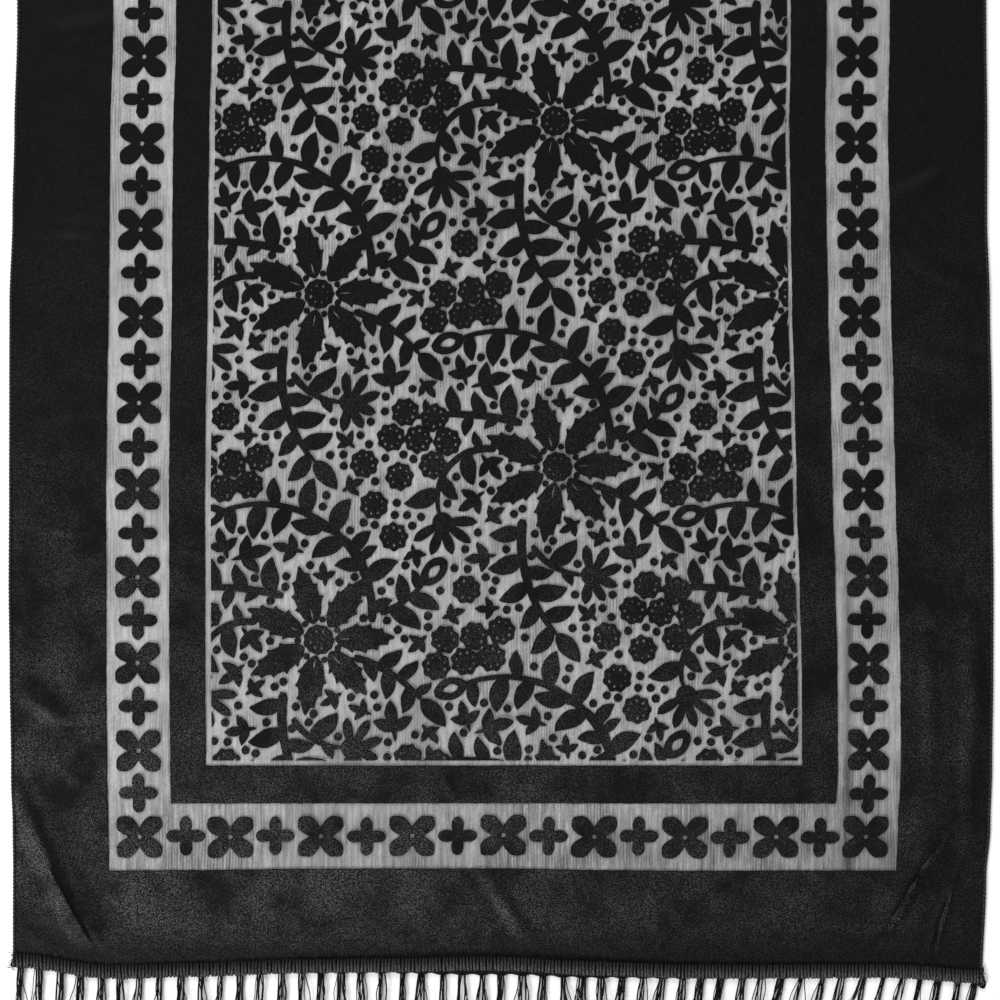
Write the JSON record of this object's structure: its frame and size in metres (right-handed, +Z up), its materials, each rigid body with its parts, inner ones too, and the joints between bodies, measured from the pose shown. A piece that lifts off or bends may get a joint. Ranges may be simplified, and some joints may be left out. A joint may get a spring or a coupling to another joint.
{
  "type": "evening stole",
  "caption": "Long rectangular stole of burnt-out velvet with a sheer floral centre, quatrefoil border and fringed ends, laid flat.",
  "frame": {"origin": "centre of the stole's box, on the surface that it lies on", "axes": "+X across the stole, +Y along its length, +Z up from the surface to its pile side"},
  "size_m": [0.5624, 1.8418, 0.0073],
  "materials": {
    "burnt_out_velvet": "black cut pile on a sheer black georgette ground",
    "rayon_yarn": "black ribbed braid and soft plied yarn, low sheen"
  },
  "bodies": {
    "root": {"body": "burnt_out_velvet", "fringe_near": "rayon_yarn", "fringe_far": "rayon_yarn"}
  },
  "joints": []
}
